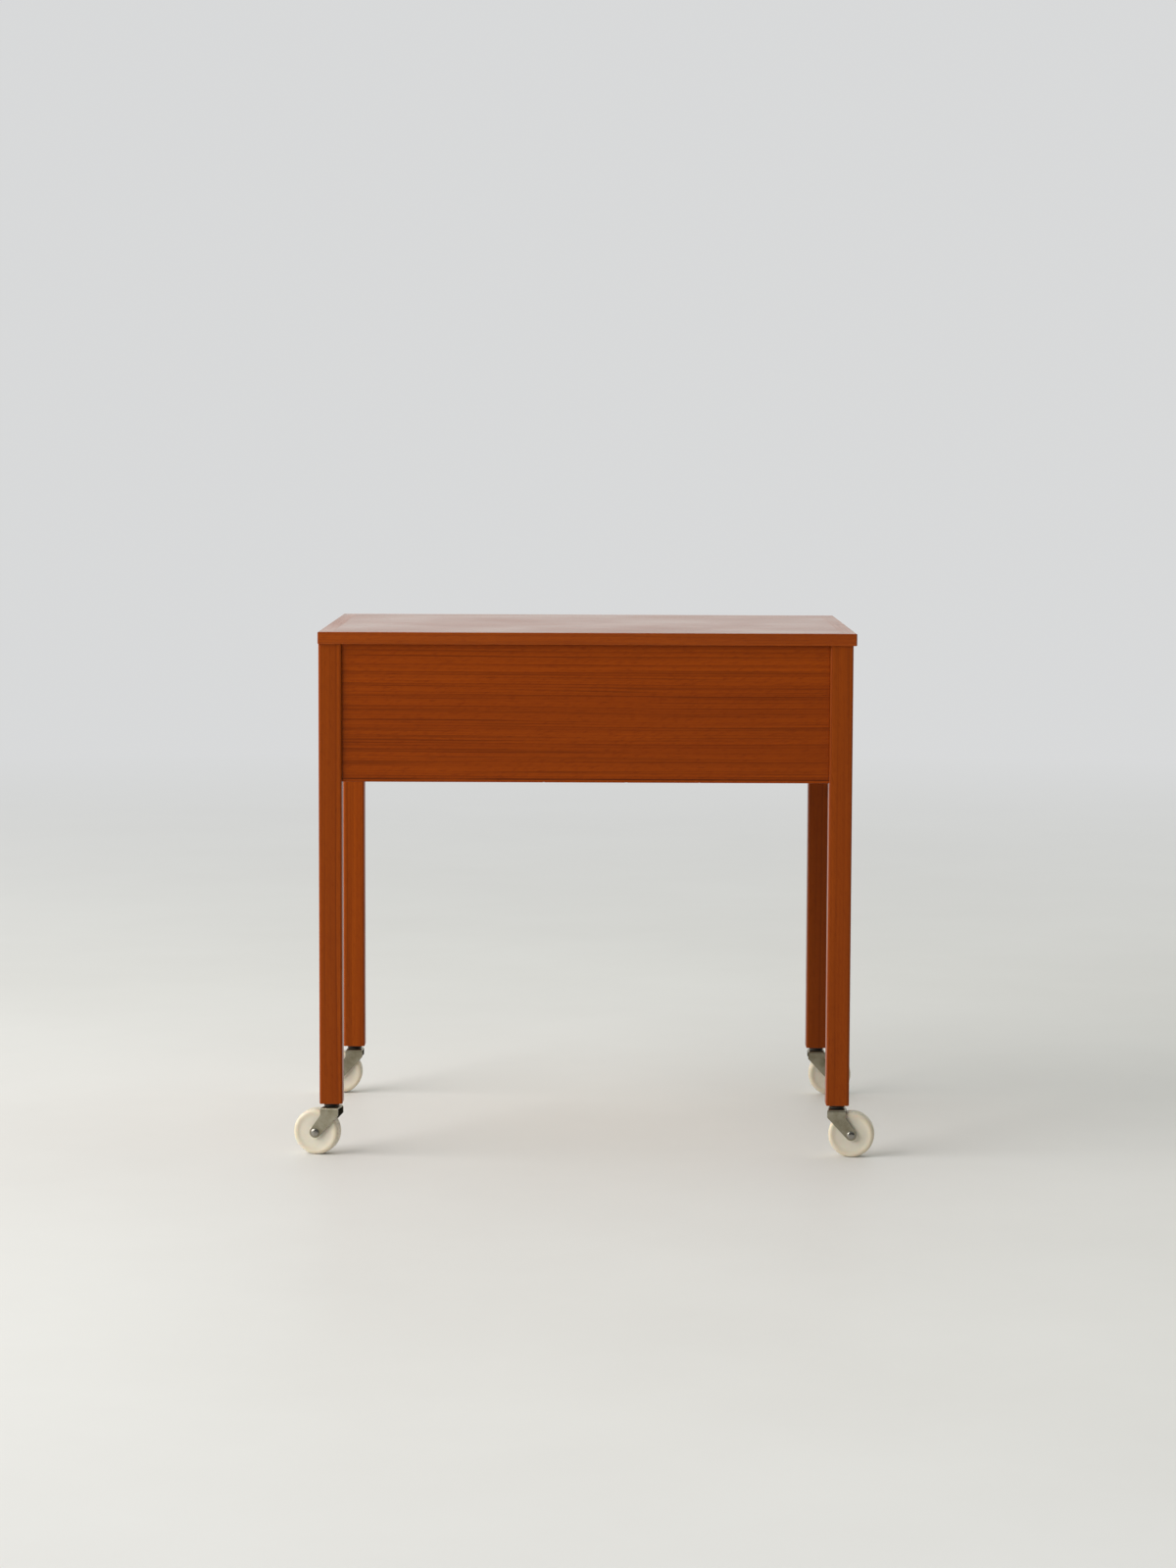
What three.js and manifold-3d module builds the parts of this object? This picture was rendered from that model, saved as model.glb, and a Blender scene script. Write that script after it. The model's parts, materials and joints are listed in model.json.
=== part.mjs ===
// A low sewing table on four swivel castors. Its top is a lid hinged along the back, and the box
// under it holds a sliding tray of compartments above an open storage space.
//
// Millimetres, +Z up, +X right, +Y towards the back. The origin is on the floor, under the middle.
import * as THREE from 'three';
import { mergeVertices } from 'three/addons/utils/BufferGeometryUtils.js';
import Module from 'manifold-3d';

const wasm = await Module();
wasm.setup();

// ---- Driving dimensions ----------------------------------------------------------------------
const GAP = 0.3; // running or glue-line gap between two neighbouring pieces
const TOP_WIDTH = 580;
const TOP_DEPTH = 416;
const TOP_THICKNESS = 13;
const TABLE_HEIGHT = 571;
const SIDE_OVERHANG = 2;
const END_OVERHANG = 3; // of the lid past the legs, at the front and at the back
const LIPPING_WIDTH = 16;
const LID_SHIFT = 1.5; // the lid sits this far to the right of the legs' middle

const LEG_SIZE = 25;
const LEG_ARRIS = 2.5;
const LEG_BOTTOM = 57;
const LID_CLEARANCE = 0.5; // between the box and the closed lid

const APRON_THICKNESS = 12;
const APRON_BOTTOM = 409;
const APRON_RECESS = 3.5; // front and side aprons, behind the legs' outer faces
const BACK_APRON_RECESS = 1.2;
const TENON = { length: 9, thickness: 8, height: 110 };

const BOTTOM_THICKNESS = 4;
const BOTTOM_RISE = 8; // underside of the bottom board above the aprons' lower edge
const GROOVE_DEPTH = 5;

const RUNNER = { width: 17, height: 10 };
const TRAY = { width: 258, height: 62, wall: 6, floor: 3, divider: 4, dividerDrop: 4, lidRoom: 6, endRoom: 1 };

const HINGE = { x: 190, leaf: 40, reach: 13, plate: 1.2, radius: 2.4, pin: 1.1, pinEnd: 0.5, bore: 1.4 };
const HINGE_INSET = 1.5; // hinge pin in front of the lid's back edge

const STAY = { radius: 72, drop: 7, chord: 14, opening: 95, width: 9, thickness: 1.5, slot: 5, wallGap: 5.3 };
const STAY_RIVET = { eye: 2.3, shank: 2, head: 3.6, headThickness: 1.2 };
const STAY_BRACKET = { thickness: 1.5, length: 16, width: 14, ear: 10 };
const GUIDE_SCREW = { shank: 2.1, head: 4.2, headThickness: 1.4, depth: 8, hole: 2.4 };

const CASTOR = { radius: 25, trail: 16, top: 53 };
const WHEEL = { width: 18, bore: 3, boss: 6.5, dishFrom: 7.5, dishTo: 19.5, rim: 20.5, dish: 1.6, shoulder: 2.2 };
const FORK = { length: 20, width: 24, gauge: 2, straight: 9, eye: 6, crown: 3, stemHole: 3.9 };
const AXLE = { shaft: 2.6, head: 4.4, dome: 1.8 };
const SOCKET = { hole: 5.3, holeDepth: 41, tube: 5, bore: 3.8, length: 38, flange: 8.6, flangeThickness: 1.2 };
const BEARING = { bore: 3.9, end: 7.6, middle: 8.3 };
const STEM = { radius: 3.5, tip: 2.2, taper: 1.5, rise: 32, rivet: 4.6, rivetEnd: 3, rivetHeight: 2.2 };

// Each castor's wheel trails away from its leg in this direction, in degrees from +X.
const CORNERS = [
  { name: 'front_left', x: -1, y: -1, trail: 169 },
  { name: 'front_right', x: 1, y: -1, trail: -5.6 },
  { name: 'back_left', x: -1, y: 1, trail: 178 },
  { name: 'back_right', x: 1, y: 1, trail: -0.5 },
];

// ---- Derived places --------------------------------------------------------------------------
const LID_BOTTOM = TABLE_HEIGHT - TOP_THICKNESS;
const BOX_TOP = LID_BOTTOM - LID_CLEARANCE;
const LEG_X = TOP_WIDTH / 2 - SIDE_OVERHANG - LEG_SIZE / 2;
const LEG_Y = TOP_DEPTH / 2 - END_OVERHANG - LEG_SIZE / 2;
const LEG_INNER_X = LEG_X - LEG_SIZE / 2;
const LEG_INNER_Y = LEG_Y - LEG_SIZE / 2;
const APRON_HEIGHT = BOX_TOP - APRON_BOTTOM;
const SIDE_APRON_X = LEG_X + LEG_SIZE / 2 - APRON_RECESS - APRON_THICKNESS / 2;
const FRONT_APRON_Y = -(LEG_Y + LEG_SIZE / 2 - APRON_RECESS - APRON_THICKNESS / 2);
const BACK_APRON_Y = LEG_Y + LEG_SIZE / 2 - BACK_APRON_RECESS - APRON_THICKNESS / 2;
const INNER_X = SIDE_APRON_X - APRON_THICKNESS / 2;
const INNER_FRONT = FRONT_APRON_Y + APRON_THICKNESS / 2;
const INNER_BACK = BACK_APRON_Y - APRON_THICKNESS / 2;
const APRON_MIDDLE = (BOX_TOP + APRON_BOTTOM) / 2;
const BOTTOM_BOARD_Z = APRON_BOTTOM + BOTTOM_RISE;
const TRAY_TOP = LID_BOTTOM - TRAY.lidRoom;
const TRAY_BOTTOM = TRAY_TOP - TRAY.height;
const RUNNER_TOP = TRAY_BOTTOM - GAP;
const PIN_Y = TOP_DEPTH / 2 - HINGE_INSET;
const PIN_Z = (LID_BOTTOM + BOX_TOP) / 2;

// ---- Materials -------------------------------------------------------------------------------
const teak = new THREE.MeshStandardMaterial({ color: 0x8a3f18, roughness: 0.45 });
const veneer = new THREE.MeshStandardMaterial({ color: 0x7a3814, roughness: 0.42 });
const beech = new THREE.MeshStandardMaterial({ color: 0xc89b66, roughness: 0.6 });
const plywood = new THREE.MeshStandardMaterial({ color: 0xbf9560, roughness: 0.7 });
const brass = new THREE.MeshStandardMaterial({ color: 0xb08a45, roughness: 0.35, metalness: 1 });
const forkSteel = new THREE.MeshStandardMaterial({ color: 0x8f8b78, roughness: 0.4, metalness: 1 });
const darkSteel = new THREE.MeshStandardMaterial({ color: 0x3c3a36, roughness: 0.5, metalness: 1 });
const brightSteel = new THREE.MeshStandardMaterial({ color: 0xb5b5b0, roughness: 0.3, metalness: 1 });
const nylon = new THREE.MeshStandardMaterial({ color: 0xe6e0c8, roughness: 0.45 });

// ---- Solids: joining and cutting -------------------------------------------------------------
function toSolid(geometry) {
  const plain = geometry.clone();
  plain.deleteAttribute('normal');
  plain.deleteAttribute('uv');
  const merged = mergeVertices(plain, 1e-4);
  const vertProperties = Float32Array.from(merged.attributes.position.array);
  const triVerts = Uint32Array.from(merged.index.array);
  return new wasm.Manifold(new wasm.Mesh({ numProp: 3, vertProperties, triVerts }));
}

function toGeometry(solid) {
  const mesh = solid.getMesh();
  const geometry = new THREE.BufferGeometry();
  geometry.setAttribute('position', new THREE.BufferAttribute(mesh.vertProperties, 3));
  geometry.setIndex(new THREE.BufferAttribute(mesh.triVerts, 1));
  return geometry;
}

function join(first, ...others) {
  return toGeometry(others.reduce((solid, other) => solid.add(toSolid(other)), toSolid(first)));
}

function cut(body, ...tools) {
  return toGeometry(tools.reduce((solid, tool) => solid.subtract(toSolid(tool)), toSolid(body)));
}

function overlap(first, second) {
  return toGeometry(toSolid(first).intersect(toSolid(second)));
}

// ---- Simple shapes ---------------------------------------------------------------------------
// A box given by its span along each axis; the two ends of a span may come in either order.
function block(x, y, z) {
  const spans = [x, y, z];
  const size = spans.map(([a, b]) => Math.abs(b - a));
  const middle = spans.map(([a, b]) => (a + b) / 2);
  return new THREE.BoxGeometry(...size).translate(...middle);
}

function rodAlongX(radius, from, to, y, z, segments = 20) {
  const rod = new THREE.CylinderGeometry(radius, radius, Math.abs(to - from), segments);
  return rod.rotateZ(Math.PI / 2).translate((from + to) / 2, y, z);
}

function roundedRectangle(width, height, radius) {
  const right = width / 2;
  const top = height / 2;
  const outline = new THREE.Shape();
  outline.absarc(right - radius, top - radius, radius, 0, Math.PI / 2);
  outline.absarc(-right + radius, top - radius, radius, Math.PI / 2, Math.PI);
  outline.absarc(-right + radius, -top + radius, radius, Math.PI, Math.PI * 1.5);
  outline.absarc(right - radius, -top + radius, radius, Math.PI * 1.5, Math.PI * 2);
  return outline;
}

function extrude(outline, depth, curveSegments = 4) {
  return new THREE.ExtrudeGeometry(outline, { depth, curveSegments, bevelEnabled: false });
}

// A turned piece on the Z axis, from its (radius, height) outline.
function turned(outline, segments) {
  const points = outline.map(([radius, height]) => new THREE.Vector2(radius, height));
  return new THREE.LatheGeometry(points, segments).rotateX(Math.PI / 2);
}

function addMesh(parent, name, geometry, material) {
  const mesh = new THREE.Mesh(geometry, material);
  mesh.name = name;
  parent.add(mesh);
  return mesh;
}

// ---- Legs ------------------------------------------------------------------------------------
// A leg stands on its own axis. Two mortises take the aprons' tenons, and a bore in its foot
// takes the castor's socket.
function legGeometry(corner) {
  const half = LEG_SIZE / 2;
  const depth = TENON.length + GAP * 2;
  const cheek = TENON.thickness / 2 + GAP;
  const rise = TENON.height / 2 + GAP;
  const heights = [APRON_MIDDLE - rise, APRON_MIDDLE + rise];
  const railY = (corner.y < 0 ? FRONT_APRON_Y : BACK_APRON_Y) - corner.y * LEG_Y;
  const railX = corner.x * (SIDE_APRON_X - LEG_X);
  const towardsX = [-corner.x * (half + GAP), -corner.x * (half - depth)];
  const towardsY = [-corner.y * (half + GAP), -corner.y * (half - depth)];
  const post = extrude(roundedRectangle(LEG_SIZE, LEG_SIZE, LEG_ARRIS), BOX_TOP - LEG_BOTTOM, 6);
  post.translate(0, 0, LEG_BOTTOM);
  const endMortise = block(towardsX, [railY - cheek, railY + cheek], heights);
  const sideMortise = block([railX - cheek, railX + cheek], towardsY, heights);
  const bore = new THREE.CylinderGeometry(SOCKET.hole, SOCKET.hole, SOCKET.holeDepth * 2, 12);
  bore.rotateX(Math.PI / 2).translate(0, 0, LEG_BOTTOM);
  return cut(post, endMortise, sideMortise, bore);
}

function addLegs(table) {
  for (const corner of CORNERS) {
    const leg = addMesh(table, `leg_${corner.name}`, legGeometry(corner), teak);
    leg.position.set(corner.x * LEG_X, corner.y * LEG_Y, 0);
  }
}

// ---- Box -------------------------------------------------------------------------------------
// An apron along X with its inner face at -Y, a tenon at each end and a groove for the bottom.
function apronGeometry(shoulder) {
  const half = APRON_THICKNESS / 2;
  const reach = shoulder - GAP;
  const tip = shoulder + TENON.length;
  const board = block([-reach, reach], [-half, half], [APRON_BOTTOM, BOX_TOP]);
  const cheek = TENON.thickness / 2;
  const heights = [APRON_MIDDLE - TENON.height / 2, APRON_MIDDLE + TENON.height / 2];
  const tenons = block([-tip, tip], [-cheek, cheek], heights);
  const grooveZ = [BOTTOM_BOARD_Z - GAP, BOTTOM_BOARD_Z + BOTTOM_THICKNESS + GAP];
  const groove = block([-tip, tip], [-half - 1, -half + GROOVE_DEPTH], grooveZ);
  return cut(join(board, tenons), groove);
}

// The hinge's lower leaf lies in this pocket, open to the back.
function leafPocket(x) {
  const span = HINGE.leaf / 2 + GAP;
  const back = BACK_APRON_Y + APRON_THICKNESS / 2 + 1;
  const depth = [BOX_TOP - HINGE.plate - GAP, BOX_TOP + 1];
  return block([x - span, x + span], [PIN_Y - HINGE.reach - GAP, back], depth);
}

function bottomBoardGeometry() {
  const tongue = GROOVE_DEPTH - GAP;
  const x = INNER_X + tongue;
  const z = [BOTTOM_BOARD_Z, BOTTOM_BOARD_Z + BOTTOM_THICKNESS];
  const board = block([-x, x], [INNER_FRONT - tongue, INNER_BACK + tongue], z);
  const high = [z[0] - 1, z[1] + 1];
  const notches = CORNERS.map((corner) => block(
    [corner.x * (LEG_INNER_X - GAP), corner.x * TOP_WIDTH],
    [corner.y * (LEG_INNER_Y - GAP), corner.y * TOP_DEPTH],
    high,
  ));
  return cut(board, ...notches);
}

function addBox(table) {
  const front = addMesh(table, 'front_apron', apronGeometry(LEG_INNER_X), veneer);
  front.rotation.z = Math.PI;
  front.position.y = FRONT_APRON_Y;

  const pockets = [-HINGE.x, HINGE.x].map((x) => leafPocket(x).translate(0, -BACK_APRON_Y, 0));
  const back = addMesh(table, 'back_apron', cut(apronGeometry(LEG_INNER_X), ...pockets), veneer);
  back.position.y = BACK_APRON_Y;

  const left = addMesh(table, 'left_apron', apronGeometry(LEG_INNER_Y), veneer);
  left.rotation.z = Math.PI / 2;
  left.position.x = -SIDE_APRON_X;

  // Turned a quarter turn, the right apron has the table's Y along its own -X.
  const screwHole = new THREE.CylinderGeometry(GUIDE_SCREW.hole, GUIDE_SCREW.hole, GUIDE_SCREW.depth * 2, 12);
  screwHole.translate(-STAY_GUIDE.y, -APRON_THICKNESS / 2 + GAP, STAY_GUIDE.z);
  const right = addMesh(table, 'right_apron', cut(apronGeometry(LEG_INNER_Y), screwHole), veneer);
  right.rotation.z = -Math.PI / 2;
  right.position.x = SIDE_APRON_X;

  addMesh(table, 'bottom_board', bottomBoardGeometry(), plywood);
}

function addRunners(table) {
  const x = LEG_INNER_X - GAP;
  const z = [RUNNER_TOP - RUNNER.height, RUNNER_TOP];
  const front = INNER_FRONT + GAP;
  const back = INNER_BACK - GAP;
  addMesh(table, 'front_tray_runner', block([-x, x], [front, front + RUNNER.width], z), beech);
  addMesh(table, 'back_tray_runner', block([-x, x], [back - RUNNER.width, back], z), beech);
}

// ---- Lid -------------------------------------------------------------------------------------
// A strip of solid wood along one edge of the lid, with its ends mitred at 45 degrees.
function lippingGeometry(length) {
  const outer = length / 2 - GAP / 2;
  const inner = outer - LIPPING_WIDTH + GAP;
  const outline = new THREE.Shape();
  outline.moveTo(-outer, 0);
  outline.lineTo(outer, 0);
  outline.lineTo(inner, LIPPING_WIDTH - GAP);
  outline.lineTo(-inner, LIPPING_WIDTH - GAP);
  return extrude(outline, TOP_THICKNESS);
}

// Room in the lid's back lipping for one hinge: a pocket for the leaf, deeper round the knuckles.
function hingeRoom(x) {
  const span = HINGE.leaf / 2 + GAP;
  const around = HINGE.radius + GAP + 0.1;
  const back = TOP_DEPTH / 2 + 1;
  const leafZ = [LID_BOTTOM - 1, LID_BOTTOM + HINGE.plate + GAP];
  const leaf = block([x - span, x + span], [PIN_Y - HINGE.reach - GAP, back], leafZ);
  const pin = HINGE.leaf / 2 + 1;
  const knuckles = block([x - pin, x + pin], [PIN_Y - around, back], [LID_BOTTOM - 1, PIN_Z + around]);
  return join(leaf, knuckles);
}

function addLid(table) {
  const z = [LID_BOTTOM, TABLE_HEIGHT];
  const x = TOP_WIDTH / 2 - LIPPING_WIDTH;
  const y = TOP_DEPTH / 2 - LIPPING_WIDTH;
  const panel = block([LID_SHIFT - x, LID_SHIFT + x], [-y, y], z);
  addMesh(table, 'lid_panel', panel, veneer);

  const strips = [
    { name: 'front', length: TOP_WIDTH, turn: 0, x: 0, y: -TOP_DEPTH / 2 },
    { name: 'right', length: TOP_DEPTH, turn: Math.PI / 2, x: TOP_WIDTH / 2, y: 0 },
    { name: 'back', length: TOP_WIDTH, turn: Math.PI, x: 0, y: TOP_DEPTH / 2 },
    { name: 'left', length: TOP_DEPTH, turn: -Math.PI / 2, x: -TOP_WIDTH / 2, y: 0 },
  ];
  for (const strip of strips) {
    let geometry = lippingGeometry(strip.length).rotateZ(strip.turn);
    geometry.translate(strip.x + LID_SHIFT, strip.y, LID_BOTTOM);
    if (strip.name === 'back') geometry = cut(geometry, hingeRoom(-HINGE.x), hingeRoom(HINGE.x));
    addMesh(table, `lid_lipping_${strip.name}`, geometry, teak);
  }
}

// ---- Hinges ----------------------------------------------------------------------------------
// A leaf is a plate from the wood to the pin, with knuckles rolled round the pin over its spans.
function leafGeometry(plateZ, knuckleSpans) {
  const half = HINGE.leaf / 2;
  const front = PIN_Y - HINGE.reach;
  const plate = block([-half, half], [front, PIN_Y - HINGE.radius - GAP], plateZ);
  const tongues = knuckleSpans.map((span) => block(span, [front, PIN_Y], plateZ));
  const knuckles = knuckleSpans.map((span) => rodAlongX(HINGE.radius, ...span, PIN_Y, PIN_Z, 24));
  const bore = rodAlongX(HINGE.bore, -half - 1, half + 1, PIN_Y, PIN_Z, 16);
  return cut(join(plate, ...tongues, ...knuckles), bore);
}

function addHinges(table) {
  const half = HINGE.leaf / 2;
  const third = HINGE.leaf / 6;
  const lowerZ = [BOX_TOP - HINGE.plate, BOX_TOP];
  const upperZ = [LID_BOTTOM, LID_BOTTOM + HINGE.plate];
  const lowerSpans = [[-half, -third - GAP], [third + GAP, half]];
  const upperSpans = [[-third, third]];
  for (const [side, x] of [['left', -HINGE.x], ['right', HINGE.x]]) {
    const hinge = new THREE.Group();
    hinge.position.x = x;
    table.add(hinge);
    addMesh(hinge, `hinge_leaf_lower_${side}`, leafGeometry(lowerZ, lowerSpans), brass);
    addMesh(hinge, `hinge_leaf_upper_${side}`, leafGeometry(upperZ, upperSpans), brass);
    const pin = rodAlongX(HINGE.pin, -half - HINGE.pinEnd, half + HINGE.pinEnd, PIN_Y, PIN_Z, 16);
    addMesh(hinge, `hinge_pin_${side}`, pin, brass);
  }
}

// ---- Lid stay --------------------------------------------------------------------------------
// The slotted arm hangs from a bracket on the lid and slides over a guide screw in the right
// apron. Bracket pivot and guide are equally far from the hinge pin, so the arm turns at exactly
// half the lid's rate.
const STAY_ANGLE = Math.asin(STAY.drop / STAY.radius);
const STAY_SPREAD = 2 * Math.asin(STAY.chord / 2 / STAY.radius);
const STAY_PIVOT = stayPoint(STAY_ANGLE);
const STAY_GUIDE = stayPoint(STAY_ANGLE + STAY_SPREAD);
const STAY_SWEEP = THREE.MathUtils.degToRad(STAY.opening) + STAY_SPREAD;
const STAY_LONGEST = 2 * STAY.radius * Math.sin(STAY_SWEEP / 2);
const ARM_X = [INNER_X - STAY.wallGap - STAY.thickness, INNER_X - STAY.wallGap];

// A point at the stay's radius from the hinge pin, forwards and this far below the horizontal.
function stayPoint(angle) {
  return { y: PIN_Y - STAY.radius * Math.cos(angle), z: PIN_Z - STAY.radius * Math.sin(angle) };
}

function stayArmGeometry() {
  const half = STAY.width / 2;
  const outline = new THREE.Shape();
  outline.absarc(0, 0, half, Math.PI / 2, Math.PI * 1.5);
  outline.absarc(STAY_LONGEST + 1, 0, half, -Math.PI / 2, Math.PI / 2);
  const eye = new THREE.Path();
  eye.absarc(0, 0, STAY_RIVET.eye, 0, Math.PI * 2, true);
  const slot = new THREE.Path();
  slot.absarc(STAY.chord, 0, STAY.slot / 2, Math.PI * 1.5, Math.PI / 2, true);
  slot.absarc(STAY_LONGEST, 0, STAY.slot / 2, Math.PI / 2, -Math.PI / 2, true);
  outline.holes.push(eye, slot);
  return extrude(outline, STAY.thickness, 10);
}

function addStay(table) {
  const arm = addMesh(table, 'stay_arm', stayArmGeometry(), brass);
  const heading = Math.atan2(STAY_GUIDE.z - STAY_PIVOT.z, STAY_GUIDE.y - STAY_PIVOT.y);
  arm.geometry.rotateY(Math.PI / 2).rotateX(Math.PI / 2).rotateX(heading);
  arm.position.set(ARM_X[0], STAY_PIVOT.y, STAY_PIVOT.z);

  addMesh(table, 'stay_lid_bracket', stayBracketGeometry(), brass);
  addMesh(table, 'stay_guide_screw', guideScrewGeometry(), brass);
}

// An angle of plate under the lid: its ear carries the arm on a rivet.
function stayBracketGeometry() {
  const { thickness, length, width, ear } = STAY_BRACKET;
  const { y, z } = STAY_PIVOT;
  const earX = [ARM_X[0] - GAP - thickness, ARM_X[0] - GAP];
  const plateZ = [LID_BOTTOM - GAP - thickness, LID_BOTTOM - GAP];
  const headX = [ARM_X[1] + GAP, ARM_X[1] + GAP + STAY_RIVET.headThickness];
  return join(
    block([earX[1] - length, earX[1]], [y - width / 2, y + width / 2], plateZ),
    block(earX, [y - ear / 2, y + ear / 2], [z, plateZ[1]]),
    rodAlongX(ear / 2, ...earX, y, z),
    rodAlongX(STAY_RIVET.shank, earX[0], headX[1] - GAP, y, z, 12),
    rodAlongX(STAY_RIVET.head, ...headX, y, z, 16),
  );
}

// A screw in the right apron, with a head inside the arm and a collar between arm and apron.
function guideScrewGeometry() {
  const { shank, head, headThickness, depth } = GUIDE_SCREW;
  const { y, z } = STAY_GUIDE;
  const headX = [ARM_X[0] - GAP - headThickness, ARM_X[0] - GAP];
  return join(
    rodAlongX(head, ...headX, y, z, 16),
    rodAlongX(shank, headX[1] - headThickness / 2, INNER_X + depth, y, z, 12),
    rodAlongX(head, ARM_X[1] + GAP, INNER_X - GAP, y, z, 16),
  );
}

// ---- Tray ------------------------------------------------------------------------------------
function addTray(table) {
  const tray = new THREE.Group();
  tray.position.x = -LEG_INNER_X + TRAY.endRoom + TRAY.width / 2;
  table.add(tray);

  const half = TRAY.width / 2;
  const front = INNER_FRONT + TRAY.endRoom;
  const back = INNER_BACK - TRAY.endRoom;
  const walls = [TRAY_BOTTOM + TRAY.floor + GAP, TRAY_TOP];
  const insideX = half - TRAY.wall - GAP;
  const floor = [TRAY_BOTTOM, TRAY_BOTTOM + TRAY.floor];
  addMesh(tray, 'tray_floor', block([-half, half], [front, back], floor), plywood);
  addMesh(tray, 'tray_left_side', block([-half, -half + TRAY.wall], [front, back], walls), beech);
  addMesh(tray, 'tray_right_side', block([half - TRAY.wall, half], [front, back], walls), beech);
  addMesh(tray, 'tray_front', block([-insideX, insideX], [front, front + TRAY.wall], walls), beech);
  addMesh(tray, 'tray_back', block([-insideX, insideX], [back - TRAY.wall, back], walls), beech);

  const thick = TRAY.divider / 2;
  const low = walls[0];
  const high = TRAY_TOP - TRAY.dividerDrop;
  const insideFront = front + TRAY.wall + GAP;
  const insideBack = back - TRAY.wall - GAP;
  const middle = block([-thick, thick], [insideFront, insideBack], [low, high]);
  addMesh(tray, 'tray_long_divider', middle, beech);

  // Two short dividers on the left make three compartments, and one on the right makes two.
  const depth = insideBack - insideFront;
  const places = [
    { name: 'tray_left_front_divider', side: -1, at: 1 / 3 },
    { name: 'tray_left_back_divider', side: -1, at: 2 / 3 },
    { name: 'tray_right_divider', side: 1, at: 1 / 2 },
  ];
  for (const place of places) {
    const y = insideFront + depth * place.at;
    const span = [place.side * (thick + GAP), place.side * (half - TRAY.wall - GAP)];
    addMesh(tray, place.name, block(span, [y - thick, y + thick], [low, high]), beech);
  }
}

// ---- Castors ---------------------------------------------------------------------------------
// In a castor's own frame the swivel axis is Z, and the wheel trails along +X with its axle on Y.
function alongAxle(geometry) {
  return geometry.rotateX(Math.PI / 2).translate(CASTOR.trail, 0, CASTOR.radius);
}

// Side view of the fork: straight down from the crown, then tapering to the axle's eye.
function forkSideOutline() {
  const half = FORK.length / 2;
  const bend = CASTOR.top - FORK.straight;
  const eye = new THREE.Vector2(CASTOR.trail, CASTOR.radius);
  const leading = tangentAngle(new THREE.Vector2(-half, bend), eye, FORK.eye, -1);
  const trailing = tangentAngle(new THREE.Vector2(half, bend), eye, FORK.eye, 1);
  const outline = new THREE.Shape();
  outline.absarc(half - FORK.crown, CASTOR.top - FORK.crown, FORK.crown, 0, Math.PI / 2);
  outline.absarc(-half + FORK.crown, CASTOR.top - FORK.crown, FORK.crown, Math.PI / 2, Math.PI);
  outline.lineTo(-half, bend);
  outline.absarc(eye.x, eye.y, FORK.eye, leading, trailing + Math.PI * 2);
  outline.lineTo(half, bend);
  return outline;
}

// The angle, round a circle, at which a line from a point outside touches it on the given side.
function tangentAngle(point, centre, radius, side) {
  const towards = Math.atan2(point.y - centre.y, point.x - centre.x);
  return towards - side * Math.acos(radius / point.distanceTo(centre));
}

// A bracket pressed from one sheet: a crown with a cheek down each side, open at both ends.
function forkGeometry() {
  const half = FORK.width / 2;
  const cheeks = extrude(forkSideOutline(), FORK.width, 16).rotateX(Math.PI / 2).translate(0, half, 0);
  const bends = extrude(roundedRectangle(FORK.width, CASTOR.top * 2, FORK.crown), CASTOR.top * 2, 6);
  bends.rotateX(Math.PI / 2).rotateZ(Math.PI / 2).translate(-CASTOR.top, 0, 0);
  const within = [-half + FORK.gauge, half - FORK.gauge];
  const inside = block([-CASTOR.top, CASTOR.top], within, [-1, CASTOR.top - FORK.gauge]);
  const stemHole = new THREE.CylinderGeometry(FORK.stemHole, FORK.stemHole, FORK.gauge * 4, 12);
  stemHole.rotateX(Math.PI / 2).translate(0, 0, CASTOR.top);
  const eye = AXLE.shaft + GAP;
  const axleHole = alongAxle(new THREE.CylinderGeometry(eye, eye, FORK.width * 2, 14).rotateX(Math.PI / 2));
  return cut(overlap(cheeks, bends), inside, stemHole, axleHole);
}

function wheelGeometry() {
  const segments = 28;
  const tread = CASTOR.radius / Math.cos(Math.PI / segments);
  const half = WHEEL.width / 2;
  const outline = [
    [WHEEL.bore, -half],
    [WHEEL.boss, -half],
    [WHEEL.dishFrom, -half + WHEEL.dish],
    [WHEEL.dishTo, -half + WHEEL.dish],
    [WHEEL.rim, -half],
    [tread - WHEEL.shoulder, -half + WHEEL.shoulder / 4],
    [tread, -half + WHEEL.shoulder * 1.5],
  ];
  const otherSide = outline.map(([radius, across]) => [radius, -across]).reverse();
  const closed = [...outline, ...otherSide, outline[0]];
  return alongAxle(turned(closed, segments).rotateZ(Math.PI / segments));
}

function axleGeometry() {
  const face = FORK.width / 2 + GAP;
  const head = [
    [0, face + AXLE.dome],
    [AXLE.head * 0.6, face + AXLE.dome * 0.8],
    [AXLE.head, face + AXLE.dome * 0.3],
    [AXLE.head, face],
    [AXLE.shaft, face],
  ];
  const otherHead = head.map(([radius, across]) => [radius, -across]).reverse();
  return alongAxle(turned([...head, ...otherHead].reverse(), 20));
}

// A flanged tube in the leg's foot.
function socketGeometry() {
  const under = LEG_BOTTOM - GAP - SOCKET.flangeThickness;
  const over = LEG_BOTTOM - GAP;
  const outline = [
    [SOCKET.bore, under],
    [SOCKET.flange, under],
    [SOCKET.flange, over],
    [SOCKET.tube, over],
    [SOCKET.tube, over + SOCKET.length],
    [SOCKET.bore, over + SOCKET.length],
  ];
  return turned([...outline, outline[0]], 20);
}

// A closed ball race between the socket's flange and the fork's crown.
function bearingGeometry() {
  const low = CASTOR.top + GAP;
  const high = LEG_BOTTOM - SOCKET.flangeThickness - GAP * 2;
  const outline = [
    [BEARING.bore, low],
    [BEARING.end, low],
    [BEARING.middle, (low + high) / 2],
    [BEARING.end, high],
    [BEARING.bore, high],
  ];
  return turned([...outline, outline[0]], 20);
}

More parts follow.
